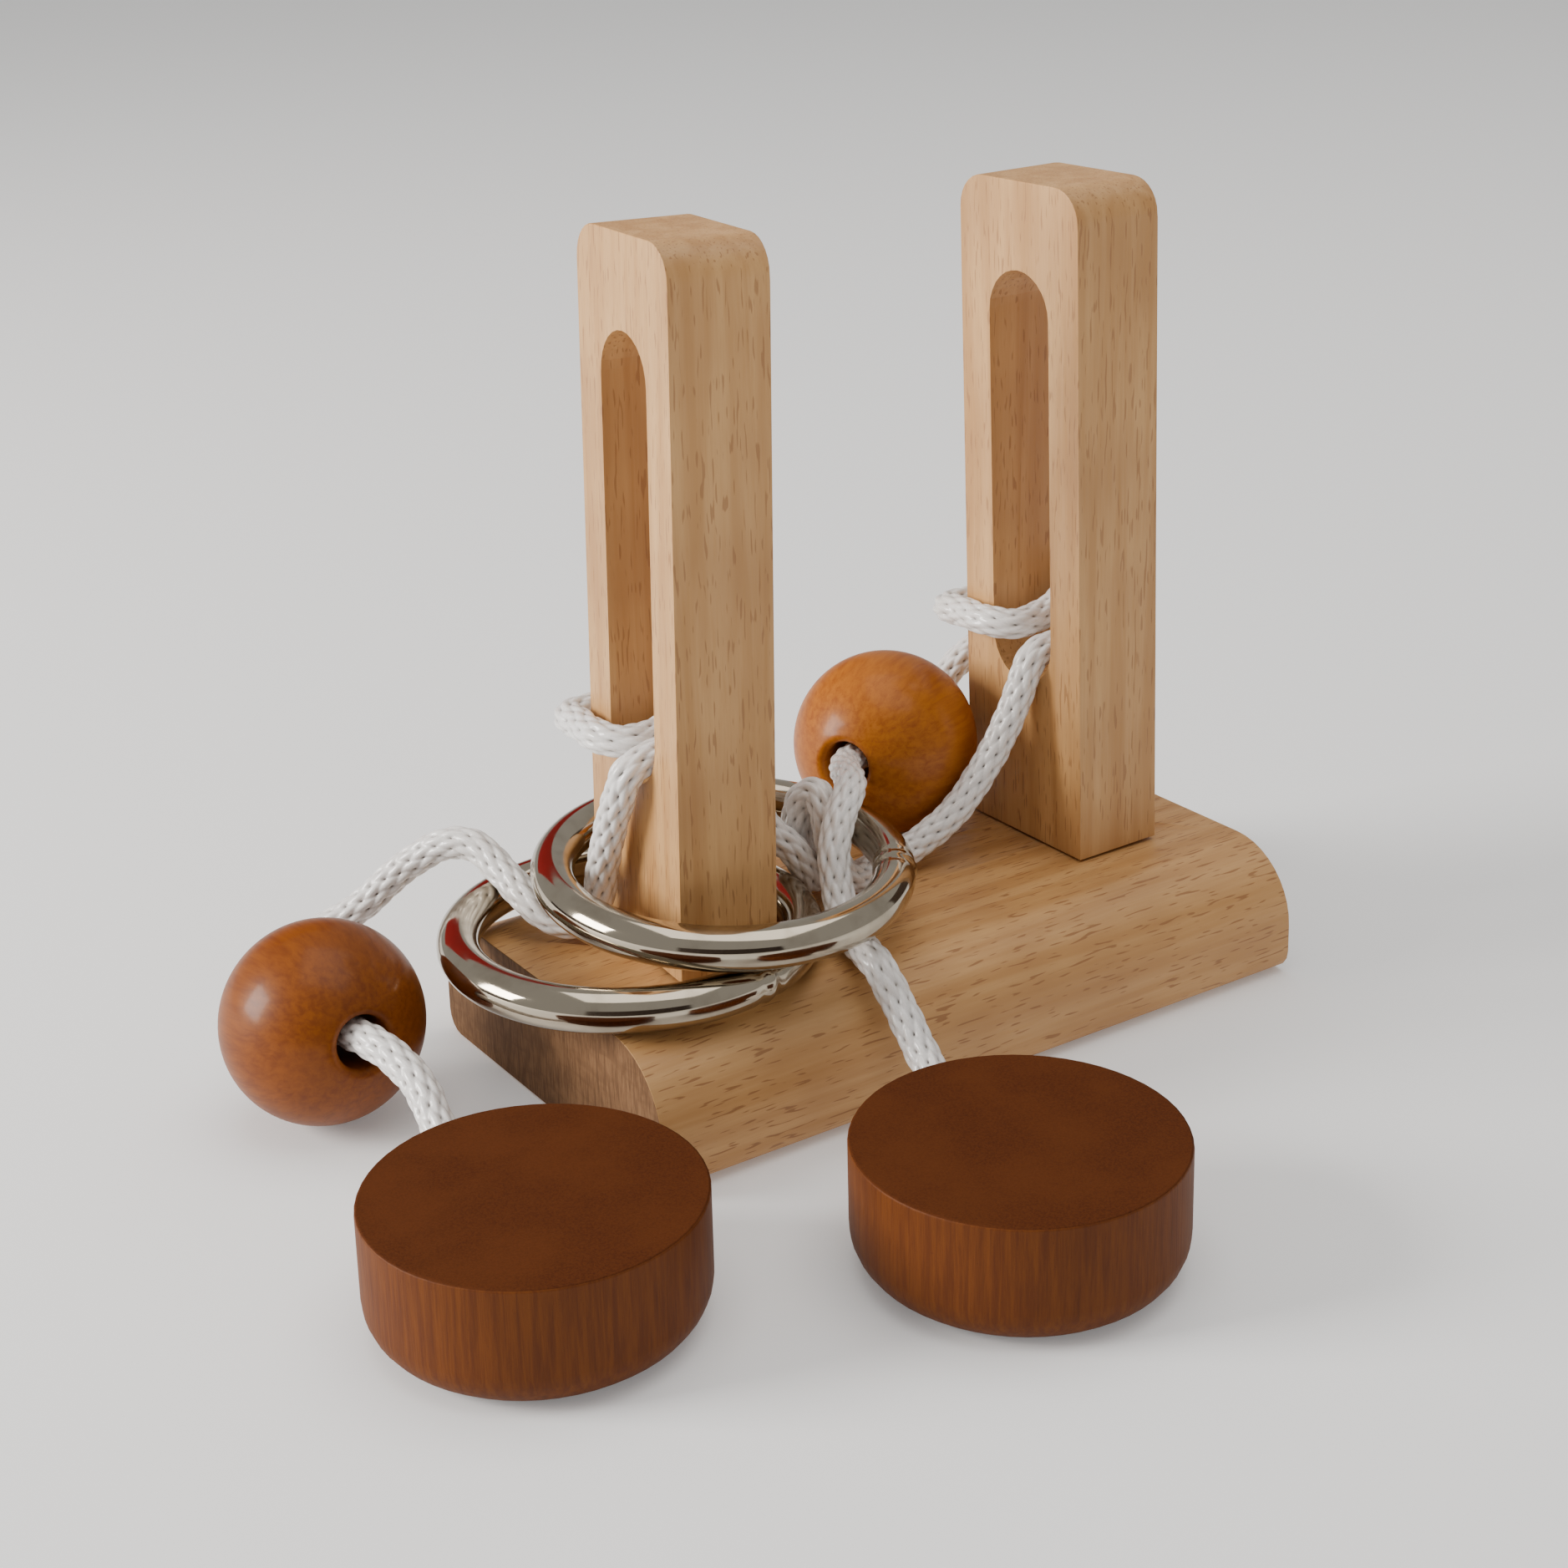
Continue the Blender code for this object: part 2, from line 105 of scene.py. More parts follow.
BETWEEN_POSTS = [
    (-0.0214, 0.0024, 0.0523), (-0.0183, 0.0038, 0.0513), (-0.0168, 0.0052, 0.0476),
    (-0.0169, 0.0062, 0.0425), (-0.0178, 0.0060, 0.0374), (-0.0186, 0.0042, 0.0332),
    (-0.0178, 0.0016, 0.0296), (-0.0152, -0.0002, 0.0266), (-0.0133, -0.0003, 0.0238),
    (-0.0118, 0.0006, 0.0213), (-0.0103, 0.0022, 0.0208), (-0.0101, 0.0036, 0.0224),
    (-0.0115, 0.0034, 0.0252), (-0.0122, 0.0030, 0.0288), (-0.0116, 0.0023, 0.0322),
    (-0.0106, 0.0005, 0.0333), (-0.0107, -0.0018, 0.0312), (-0.0107, -0.0029, 0.0272),
    (-0.0094, -0.0033, 0.0230), (-0.0060, -0.0024, 0.0208), (-0.0015, -0.0010, 0.0209),
    (0.0050, 0.0001, 0.0213), (0.0116, -0.0010, 0.0252), (0.0176, -0.0019, 0.0324),
    (0.0208, -0.0024, 0.0380), (0.0225, -0.0028, 0.0422), (0.0234, -0.0029, 0.0445),
]
TO_RIGHT_BEAD = [
    (0.0420, 0.0022, 0.0537), (0.0454, 0.0044, 0.0524), (0.0469, 0.0080, 0.0490),
    (0.0458, 0.0144, 0.0454), (0.0414, 0.0194, 0.0426), (0.0348, 0.0216, 0.0398),
    (0.0286, 0.0220, 0.0360), (0.0246, 0.0206, 0.0316),
]
TO_LEFT_DISC = [
    (-0.0773, 0.0027, 0.0158), (-0.0763, -0.0014, 0.0152), (-0.0754, -0.0066, 0.0132),
    (-0.0757, -0.0113, 0.0105), (-0.0765, -0.0165, 0.0083),
]
TO_RIGHT_DISC = [
    (-0.0004, 0.0076, 0.0330), (-0.0082, -0.0042, 0.0350), (-0.0123, -0.0074, 0.0326),
    (-0.0150, -0.0099, 0.0290), (-0.0160, -0.0120, 0.0250), (-0.0170, -0.0150, 0.0215),
    (-0.0179, -0.0193, 0.0205), (-0.0193, -0.0255, 0.0202), (-0.0191, -0.0296, 0.0163),
    (-0.0194, -0.0358, 0.0109),
]

# Braid
ROUTE_STEPS = 24                    # between two hand-laid points
STRANDS_EACH_WAY = 8
BRAID_PITCH = 2.3 * MM              # along the cord, from one crossing to the next in line
BRAID_DEPTH = 0.75 * MM
BRAID_SWELL = 0.12 * MM             # how far the crowns stand out from the cord's diameter
BRAID_STEP = 0.23 * MM
BRAID_SIDES = 64
THREADS_ROUND = 20                  # how fine the yarn's own threads are, round the cord
THREADS_PER_MM = 2.2                # and along it

# Weld seam of a ring: a narrow raised line with a shallow waist on each side
SEAM_HEIGHT = 0.16 * MM
SEAM_WIDTH = 0.45 * MM
WAIST_DEPTH = 0.14 * MM
WAIST_WIDTH = 0.6 * MM
WAIST_FROM_SEAM = 1.3 * MM
WIRE_SLACK = 0.05 * MM              # taken off the wire, so that the seam stays near its size

# Colours of the beech
BEECH_LIGHT = (0.64, 0.365, 0.145)
BEECH_DARK = (0.50, 0.255, 0.085)
BEECH_FLECK = (0.27, 0.110, 0.034)


def centre(node):
    low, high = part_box(node)
    return (low + high) / 2


# ---------------------------------------------------------------- camera

def make_camera():
    level = math.cos(CAMERA_DROP)
    forward = Vector((
        math.cos(CAMERA_BEARING) * level,
        math.sin(CAMERA_BEARING) * level,
        -math.sin(CAMERA_DROP),
    ))
    data = bpy.data.cameras.new("camera")
    data.lens = CAMERA_LENS
    data.sensor_width = 36
    data.shift_y = CAMERA_SHIFT_UP
    data.clip_start = 0.01
    data.clip_end = 20
    camera = bpy.data.objects.new("camera", data)
    bpy.context.scene.collection.objects.link(camera)
    turned = forward.to_track_quat("-Z", "Y").to_matrix() @ Matrix.Rotation(CAMERA_ROLL, 3, "Z")
    camera.matrix_world = Matrix.Translation(CAMERA_PLACE) @ turned.to_4x4()
    bpy.context.scene.camera = camera


# ---------------------------------------------------------------- shader helpers

def new_material(name, roughness, metallic=0.0):
    made = bpy.data.materials.new(name)
    made.use_nodes = True
    shader = made.node_tree.nodes["Principled BSDF"]
    shader.inputs["Roughness"].default_value = roughness
    shader.inputs["Metallic"].default_value = metallic
    return made, made.node_tree, shader


def add(tree, kind, values, **settings):
    """A new node; values maps its inputs to numbers, colours or the sockets that feed them."""
    made = tree.nodes.new(kind)
    for name, value in settings.items():
        setattr(made, name, value)
    for key, value in values.items():
        if isinstance(value, bpy.types.NodeSocket):
            tree.links.new(value, made.inputs[key])
        else:
            made.inputs[key].default_value = value
    return made


def maths(tree, operation, a, b=0.0, clamp=False):
    made = add(tree, "ShaderNodeMath", {0: a, 1: b}, operation=operation, use_clamp=clamp)
    return made.outputs[0]


def object_place(tree, stretch, shift=(0, 0, 0)):
    """The object's own coordinates in millimetres, scaled along each axis."""
    source = tree.nodes.new("ShaderNodeTexCoord").outputs["Object"]
    scaled = [1000 * part for part in stretch]
    mapped = add(tree, "ShaderNodeMapping", {"Vector": source, "Scale": scaled, "Location": shift})
    return mapped.outputs[0]


def noise(tree, place, scale, detail=2.0, roughness=0.5, distortion=0.0):
    values = {
        "Vector": place, "Scale": scale, "Detail": detail,
        "Roughness": roughness, "Distortion": distortion,
    }
    return add(tree, "ShaderNodeTexNoise", values).outputs[0]


def ramp(tree, value, low, high, to_low=0.0, to_high=1.0):
    values = {"Value": value, 1: low, 2: high, 3: to_low, 4: to_high}
    made = add(tree, "ShaderNodeMapRange", values, interpolation_type="SMOOTHSTEP")
    return made.outputs[0]


def mixed(tree, share, first, second, blend="MIX"):
    """Mixes two colours, given as sockets or as red, green, blue."""
    made = tree.nodes.new("ShaderNodeMix")
    made.data_type = "RGBA"
    made.blend_type = blend
    sockets = {s.identifier: s for s in made.inputs}
    pairs = (("Factor_Float", share), ("A_Color", first), ("B_Color", second))
    for key, value in pairs:
        if isinstance(value, bpy.types.NodeSocket):
            tree.links.new(value, sockets[key])
        elif isinstance(value, (int, float)):
            sockets[key].default_value = value
        else:
            sockets[key].default_value = (*value, 1.0)
    return next(s for s in made.outputs if s.identifier == "Result_Color")


def bump(tree, shader, height, strength, distance):
    values = {"Height": height, "Strength": strength, "Distance": distance}
    made = add(tree, "ShaderNodeBump", values)
    tree.links.new(made.outputs[0], shader.inputs["Normal"])


# ---------------------------------------------------------------- materials

def beech(name, grain, fleck_share, seed):
    """Planed beech with its grain along one axis: soft growth bands, fine fibres and short dark
    flecks, which fleck_share makes fainter or stronger."""
    made, tree, shader = new_material(name, 0.5)
    along = {"X": (0.05, 1, 1), "Y": (1, 0.05, 1), "Z": (1, 1, 0.05)}[grain]
    dash = {"X": (0.11, 1, 1), "Y": (1, 0.11, 1), "Z": (1, 1, 0.11)}[grain]
    shift = (seed * 13.7, seed * 7.1, seed * 3.3)
    bands = noise(tree, object_place(tree, along, shift), 0.35, 3.0, 0.55, 0.6)
    fibres = noise(tree, object_place(tree, along, shift), 3.2, 4.0, 0.7)
    flecks = noise(tree, object_place(tree, dash, shift), 3.0, 0.0, 0.4, 0.1)
    blotches = noise(tree, object_place(tree, (1, 1, 1), shift), 0.045, 2.0)
    tone = mixed(tree, ramp(tree, bands, 0.3, 0.72), BEECH_LIGHT, BEECH_DARK)
    tone = mixed(tree, ramp(tree, blotches, 0.35, 0.75, 0.0, 0.35), tone, BEECH_FLECK)
    tone = mixed(tree, ramp(tree, fibres, 0.4, 0.75, 0.0, 0.35), tone, BEECH_DARK)
    spot = ramp(tree, flecks, 0.65, 0.74)
    tone = mixed(tree, maths(tree, "MULTIPLY", spot, fleck_share), tone, BEECH_FLECK)
    tree.links.new(tone, shader.inputs["Base Color"])
    tree.links.new(ramp(tree, fibres, 0.3, 0.8, 0.42, 0.62), shader.inputs["Roughness"])
    relief = maths(tree, "SUBTRACT", fibres, maths(tree, "MULTIPLY", spot, fleck_share))
    bump(tree, shader, relief, 0.35, 0.06 * MM)
    return made


def end_grain(name, light, dark):
    """Sawn end of the base: fine vertical ray lines over soft arcs of growth rings."""
    made, tree, shader = new_material(name, 0.7)
    shader.inputs["Specular IOR Level"].default_value = 0.2
    rays = noise(tree, object_place(tree, (1, 1, 0.12)), 2.6, 3.0, 0.6)
    rings = noise(tree, object_place(tree, (1, 0.25, 1)), 0.55, 2.0, 0.5, 0.8)
    pores = noise(tree, object_place(tree, (1, 1, 1)), 5.0, 2.0)
    tone = mixed(tree, ramp(tree, rays, 0.35, 0.7), light, dark)
    tone = mixed(tree, ramp(tree, rings, 0.45, 0.7, 0.0, 0.45), tone, dark)
    tone = mixed(tree, ramp(tree, pores, 0.6, 0.75, 0.0, 0.4), tone, (0.09, 0.038, 0.014))
    tree.links.new(tone, shader.inputs["Base Color"])
    bump(tree, shader, rays, 0.4, 0.08 * MM)
    return made


def chrome(name):
    """Plated steel with a faint haze of handling marks."""
    made, tree, shader = new_material(name, 0.1, 1.0)
    haze = noise(tree, object_place(tree, (1, 1, 1)), 0.22, 3.0)
    scratches = noise(tree, object_place(tree, (1, 1, 0.2)), 3.0, 4.0, 0.7)
    tree.links.new(ramp(tree, haze, 0.35, 0.75, 0.07, 0.17), shader.inputs["Roughness"])
    tone = mixed(tree, ramp(tree, haze, 0.4, 0.8), (0.44, 0.385, 0.30), (0.33, 0.28, 0.21))
    tree.links.new(tone, shader.inputs["Base Color"])
    bump(tree, shader, scratches, 0.04, 0.02 * MM)
    return made


def amber_lacquer(name, light, dark):
    """Turned bead in clear amber lacquer; the grain runs along the hole, local Z."""
    made, tree, shader = new_material(name, 0.45)
    shader.inputs["Specular IOR Level"].default_value = 0.2
    shader.inputs["Coat Weight"].default_value = 0.12
    shader.inputs["Coat Roughness"].default_value = 0.16
    grain = noise(tree, object_place(tree, (1, 1, 0.08)), 1.1, 4.0, 0.65, 0.4)
    cloud = noise(tree, object_place(tree, (1, 1, 1)), 0.12, 3.0)
    specks = noise(tree, object_place(tree, (1, 1, 1)), 4.5, 2.0, 0.6)
    tone = mixed(tree, ramp(tree, grain, 0.3, 0.75), light, dark)
    tone = mixed(tree, ramp(tree, cloud, 0.35, 0.7, 0.0, 0.4), tone, light)
    tone = mixed(tree, ramp(tree, specks, 0.55, 0.8, 0.0, 0.35), tone, (0.10, 0.024, 0.002))
    tree.links.new(tone, shader.inputs["Base Color"])
    relief = maths(tree, "ADD", grain, maths(tree, "MULTIPLY", specks, 0.4))
    bump(tree, shader, relief, 0.18, 0.05 * MM)
    return made


def brown_stain_top(name):
    """Sanded end grain under brown stain: even, with a fine speckle."""
    made, tree, shader = new_material(name, 0.75)
    shader.inputs["Specular IOR Level"].default_value = 0.12
    specks = noise(tree, object_place(tree, (1, 1, 1)), 3.8, 3.0, 0.7)
    cloud = noise(tree, object_place(tree, (1, 1, 1)), 0.1, 3.0)
    tone = mixed(tree, ramp(tree, specks, 0.35, 0.75), (0.082, 0.0205, 0.0030), (0.050, 0.0110, 0.0014))
    tone = mixed(tree, ramp(tree, cloud, 0.35, 0.7, 0.0, 0.5), tone, (0.098, 0.0260, 0.0042))
    tree.links.new(tone, shader.inputs["Base Color"])
    bump(tree, shader, specks, 0.25, 0.05 * MM)
    return made


def brown_stain_side(name):
    """The turned side, where the stain shows upright grain."""
    made, tree, shader = new_material(name, 0.6)
    shader.inputs["Specular IOR Level"].default_value = 0.2
    grain = noise(tree, object_place(tree, (1, 1, 0.06)), 1.3, 4.0, 0.7, 0.3)
    lines = noise(tree, object_place(tree, (1, 1, 0.04)), 3.4, 2.0, 0.5)
    specks = noise(tree, object_place(tree, (1, 1, 1)), 4.5, 2.0)
    tone = mixed(tree, ramp(tree, grain, 0.3, 0.7), (0.138, 0.036, 0.0016), (0.090, 0.0200, 0.0009))
    tone = mixed(tree, ramp(tree, lines, 0.55, 0.75, 0.0, 0.35), tone, (0.07, 0.0160, 0.0010))
    tone = mixed(tree, ramp(tree, specks, 0.6, 0.8, 0.0, 0.3), tone, (0.05, 0.011, 0.002))
    tree.links.new(tone, shader.inputs["Base Color"])
    bump(tree, shader, maths(tree, "ADD", grain, lines), 0.3, 0.06 * MM)
    return made


def white_braid(name):
    """Synthetic yarn: off-white, duller in the gaps between strands, where painted shade also darkens the
    colour.
    """
    made, tree, shader = new_material(name, 0.5)
    shader.inputs["Sheen Weight"].default_value = 0.2
    shader.inputs["Sheen Roughness"].default_value = 0.4
    shader.inputs["Coat Weight"].default_value = 0.5
    shader.inputs["Coat Roughness"].default_value = 0.14
    height = add(tree, "ShaderNodeAttribute", {}, attribute_name="braid_height").outputs["Fac"]
    thread = add(tree, "ShaderNodeAttribute", {}, attribute_name="thread_place").outputs["Vector"]
    threads = noise(tree, thread, 1.0, 2.0, 0.5)
    soil = noise(tree, object_place(tree, (1, 1, 1)), 0.12, 3.0)
    # painted shade: the gaps between strands are darkened by braid height, on top of their real depth
    tone = mixed(tree, ramp(tree, height, 0.05, 0.85), (0.13, 0.105, 0.09), (0.88, 0.86, 0.84))
    tone = mixed(tree, ramp(tree, threads, 0.45, 0.75, 0.0, 0.35), tone, (0.52, 0.49, 0.46))
    tone = mixed(tree, ramp(tree, soil, 0.45, 0.75, 0.0, 0.3), tone, (0.60, 0.53, 0.45))
    tree.links.new(tone, shader.inputs["Base Color"])
    tree.links.new(ramp(tree, height, 0.3, 0.9, 0.75, 0.24), shader.inputs["Roughness"])
    bump(tree, shader, threads, 0.22, 0.05 * MM)
    return made


# ---------------------------------------------------------------- the cord

def post_turn(side, turn, height, rise):
    """One turn round a post's far jamb, as part.py lays it."""
    clear = CORD_DIAMETER / 2 + 0.2 * MM
    face = POST_THICKNESS / 2
    outside = face + clear
    back = POST_WIDTH / 2 + clear
    jamb = SLOT_WIDTH / 2 - clear
    first_pass = [
        (-face, -0.75 * jamb, -1.1 * MM), (0.0, -0.9 * jamb, 0.0), (face, -0.85 * jamb, 0.0),
    ]
    round_the_jamb = [
        (outside, 0.0, 0.2 * rise), (outside, 0.7 * back, 0.35 * rise),
        (face + 0.85 * clear, back - 0.15 * clear, 0.5 * rise), (0.0, back, 0.7 * rise),
        (-face - 0.85 * clear, back - 0.15 * clear, 0.85 * rise),
        (-outside, 0.7 * back, rise), (-outside, 0.3 * back, rise + 0.2 * MM),
    ]
    second_pass = [
        (-face, 0.42 * jamb, rise), (-0.2 * face, 0.42 * jamb, rise + 0.6 * MM),
        (face, 0.38 * jamb, rise + 4.8 * MM),
    ]
    middle = Vector((side * POST_SPACING / 2, 0, 0))
    about = Matrix.Rotation(turn, 3, "Z")
    lean_shift = -side * math.tan(POST_LEAN) * (height - BASE_HEIGHT)
    points = []
    for x, y, up in first_pass + round_the_jamb + second_pass:
        level = Vector((lean_shift, 0, height + up))
        points.append(middle + about @ Vector((x, y, 0)) + level)
    return points


def smooth_route(points, spacing):
    """Evenly spaced points on the centripetal Catmull-Rom curve through the given points."""
    points = [Vector(point) for point in points]
    ends = [points[0] * 2 - points[1]] + points + [points[-1] * 2 - points[-2]]
    fine = []
    for a, b, c, d in zip(ends, ends[1:], ends[2:], ends[3:]):
        t1 = (b - a).length ** 0.5
        t2 = t1 + (c - b).length ** 0.5
        t3 = t2 + (d - c).length ** 0.5
        for i in range(ROUTE_STEPS):
            t = t1 + (t2 - t1) * i / ROUTE_STEPS
            ab = a.lerp(b, t / t1)
            bc = b.lerp(c, (t - t1) / (t2 - t1))
            cd = c.lerp(d, (t - t2) / (t3 - t2))
            abc = ab.lerp(bc, t / t2)
            bcd = bc.lerp(cd, (t - t1) / (t3 - t1))
            fine.append(abc.lerp(bcd, (t - t1) / (t2 - t1)))
    fine.append(points[-1].copy())
    line = np.array([tuple(p) for p in fine])
    run = np.concatenate([[0.0], np.cumsum(np.linalg.norm(np.diff(line, axis=0), axis=1))])
    steps = max(2, round(run[-1] / spacing))
    wanted = np.linspace(0, run[-1], steps + 1)
    return np.stack([np.interp(wanted, run, line[:, k]) for k in range(3)], axis=1)


def disc_end(node, bearing):
    """Where a cord enters a disc's side hole and where it ends inside."""
    low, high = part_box(node)
    outward = Vector((math.cos(bearing), math.sin(bearing), 0))
    middle = Vector(((low.x + high.x) / 2, (low.y + high.y) / 2, low.z + DISC_HEIGHT / 2))
    return [
        middle + outward * (DISC_RADIUS - 0.5 * MM),
        middle + outward * (DISC_RADIUS - DISC_HOLE_DEPTH + 2 * MM),
    ]


def cord_frames(line):
    """Two side directions at each point, carried along the line without twist."""
    ahead = np.gradient(line, axis=0)
    ahead /= np.linalg.norm(ahead, axis=1)[:, None]
    side = np.cross(ahead[0], (0.3, 0.2, 1.0))
    first = []
    for direction in ahead:
        side = side - direction * np.dot(side, direction)
        side = side / np.linalg.norm(side)
        first.append(side)
    first = np.array(first)
    return first, np.cross(ahead, first)


def braid_height(run, turn):
    """How high the braid stands, from 0 in a gap to 1 on a strand's crown, at a distance
    along the cord and a share of the way round it."""
    right = turn * STRANDS_EACH_WAY + run / (2 * BRAID_PITCH)
    left = turn * STRANDS_EACH_WAY - run / (2 * BRAID_PITCH)

    def strand(own, other, phase):
        across = own - np.floor(own) - 0.5
        crown = np.sqrt(np.clip(1 - (across / 0.5) ** 2, 0, 1))
        over = 0.5 + 0.5 * np.cos(np.pi * (other + np.floor(own) + phase))
        return crown ** 0.8 * (0.3 + 0.7 * over ** 0.7)

    return np.maximum(strand(right, left, 0.5), strand(left, right, 1.5))


def braided_cord(name, route, finish):
    """A tube mesh whose surface stands up where the strands cross over each other."""
    line = smooth_route(route, BRAID_STEP)
    first, second = cord_frames(line)
    rings = len(line)
    run = np.arange(rings)[:, None] * BRAID_STEP
    turn = np.arange(BRAID_SIDES)[None, :] / BRAID_SIDES
    height = braid_height(run, turn)
    radius = CORD_DIAMETER / 2 + BRAID_SWELL - BRAID_DEPTH * (1 - height)
    angle = 2 * math.pi * turn
    out = (
        np.cos(angle)[..., None] * first[:, None, :]
        + np.sin(angle)[..., None] * second[:, None, :]
    )
    places = line[:, None, :] + radius[..., None] * out
    sides = BRAID_SIDES
    faces = []
    for i in range(rings - 1):
        for j in range(sides):
            k = (j + 1) % sides
            faces.append((i * sides + j, i * sides + k, (i + 1) * sides + k, (i + 1) * sides + j))
    faces.append(tuple(reversed(range(sides))))
    faces.append(tuple(range((rings - 1) * sides, rings * sides)))
    mesh = bpy.data.meshes.new(name)
    mesh.from_pydata(places.reshape(-1, 3).tolist(), [], faces)
    mesh.shade_smooth()
    heights = mesh.attributes.new("braid_height", "FLOAT", "POINT")
    heights.data.foreach_set("value", height.reshape(-1).astype(np.float32))
    threads = mesh.attributes.new("thread_place", "FLOAT_VECTOR", "POINT")
    across = np.broadcast_to(np.sin(angle) * THREADS_ROUND, (rings, sides))
    up = np.broadcast_to(np.cos(angle) * THREADS_ROUND, (rings, sides))
    along = np.broadcast_to(run / MM * THREADS_PER_MM, (rings, sides))
    stacked = np.stack([across, up, along], axis=2)
    threads.data.foreach_set("vector", stacked.reshape(-1).astype(np.float32))
    mesh.materials.append(finish)
    cord = bpy.data.objects.new(name, mesh)
    bpy.context.scene.collection.objects.link(cord)
    return cord, line


def make_cords(finish):
    left_bead = centre("left_bead")
    right_bead = centre("right_bead")
    main_route = (
        [left_bead - LEFT_BEAD_AXIS * GAP / 2] + FROM_LEFT_BEAD
        + post_turn(-1, LEFT_POST_TURN, LEFT_TURN_HEIGHT, LEFT_TURN_RISE) + BETWEEN_POSTS
        + post_turn(1, 0.0, RIGHT_TURN_HEIGHT, RIGHT_TURN_RISE) + TO_RIGHT_BEAD
        + [right_bead - RIGHT_BEAD_AXIS * GAP / 2]
    )
    main, line = braided_cord("cord_braid", main_route, finish)
    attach(main, "stand")
    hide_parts("cord_main")
    tails = (
        ("left_disc", left_bead + LEFT_BEAD_AXIS * GAP / 2, TO_LEFT_DISC, TO_LEFT_DISC[0],
         LEFT_DISC_HOLE_BEARING, 0.049),
        ("right_disc", right_bead + RIGHT_BEAD_AXIS * GAP / 2, TO_RIGHT_DISC, TO_RIGHT_DISC[7],
         RIGHT_DISC_HOLE_BEARING, 0.092),
    )
    for disc, start, middle, gives_from, bearing, length in tails:
        entry, inside = disc_end(disc, bearing)
        tail, line = braided_cord("cord_to_" + disc + "_braid", [start] + middle + [entry, inside], finish)
        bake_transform(tail)
        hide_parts("cord_to_" + disc)


# ---------------------------------------------------------------- wooden pieces

def refined(node, sharp=38):
    """A copy of a CAD node's mesh with joined corners and soft shading, in its place."""
    source = frame["nodes"][node]
    mesh = source.data.copy()
    shape = bmesh.new()
    shape.from_mesh(mesh)
    bmesh.ops.remove_doubles(shape, verts=shape.verts, dist=0.002 * MM)
    shape.to_mesh(mesh)
    shape.free()
    mesh.materials.clear()
    mesh.shade_smooth()
    mesh.set_sharp_from_angle(angle=math.radians(sharp))
    made = bpy.data.objects.new(node + "_finish", mesh)
    bpy.context.scene.collection.objects.link(made)
    weighted = made.modifiers.new("even_faces", "WEIGHTED_NORMAL")
    weighted.keep_sharp = True
    weighted.weight = 100
    body = next(b for b, nodes in frame["record"]["behaviour"]["bodies"].items() if node in nodes)
    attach(made, body)
    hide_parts(node)
    return made


def make_stand():
    base = refined("base")
    base.data.materials.append(beech("beech_base", "X", 0.75, 1))
    base.data.materials.append(end_grain("beech_end", (0.205, 0.105, 0.046), (0.115, 0.054, 0.022)))
    for face in base.data.polygons:
        if abs(face.normal.x) > 0.8:
            face.material_index = 1
    for seed, node in enumerate(("left_post", "right_post"), 2):
        post = refined(node)
        post.data.materials.append(beech("beech_" + node, "Z", 0.55, seed))
    pin = beech("beech_dowel", "Z", 0.4, 5)
    for node in ("left_post_dowel", "right_post_dowel"):
        refined(node).data.materials.append(pin)


def make_disc(node, top, side):
    disc = refined(node, 30)
    disc.data.materials.append(side)
    disc.data.materials.append(top)
    for face in disc.data.polygons:
        if abs(face.normal.z) > 0.8:
            face.material_index = 1


# ---------------------------------------------------------------- turned beads

def bead_mesh(name, finish):
    """A turned ball with a drilled hole along local Z and rounded rims."""
    rim = 0.9 * MM
    rim_across = BEAD_HOLE_RADIUS + rim
    rim_height = math.sqrt((BEAD_RADIUS - rim) ** 2 - rim_across ** 2)
    edge = math.atan2(rim_height, rim_across)
    ball_steps = 48
    rim_steps = 8
    hole_steps = 13
    sides = 96
    outline = []
    for i in range(ball_steps + 1):
        turn = edge - 2 * edge * i / ball_steps
        outline.append((BEAD_RADIUS * math.cos(turn), BEAD_RADIUS * math.sin(turn)))
    for i in range(1, rim_steps + 1):
        turn = -edge + (edge - math.pi) * i / rim_steps
        outline.append((rim_across + rim * math.cos(turn), -rim_height + rim * math.sin(turn)))
    for i in range(1, hole_steps):
        outline.append((BEAD_HOLE_RADIUS, -rim_height + 2 * rim_height * i / hole_steps))
    for i in range(rim_steps):
        turn = math.pi - (math.pi - edge) * i / rim_steps
        outline.append((rim_across + rim * math.cos(turn), rim_height + rim * math.sin(turn)))
    places = []
    for step in range(sides):
        turn = 2 * math.pi * step / sides
        for radius, height in outline:
            places.append((radius * math.cos(turn), radius * math.sin(turn), height))
    count = len(outline)
    faces = []
    for step in range(sides):
        after = (step + 1) % sides
        for i in range(count):
            k = (i + 1) % count
            faces.append((step * count + i, after * count + i, after * count + k, step * count + k))
    mesh = bpy.data.meshes.new(name)
    mesh.from_pydata(places, [], faces)
    shape = bmesh.new()
    shape.from_mesh(mesh)
    bmesh.ops.recalc_face_normals(shape, faces=shape.faces)
    shape.to_mesh(mesh)
    shape.free()
    mesh.shade_smooth()
    mesh.materials.append(finish)
    return mesh


def make_bead(node, axis, finish):
    name = node + "_turned"
    bead = bpy.data.objects.new(name, bead_mesh(name, finish))
    bpy.context.scene.collection.objects.link(bead)
    turned = axis.to_track_quat("Z", "Y").to_matrix().to_4x4()
    bead.matrix_world = Matrix.Translation(centre(node)) @ turned
    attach(bead, node)
    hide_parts(node)


# ---------------------------------------------------------------- rings

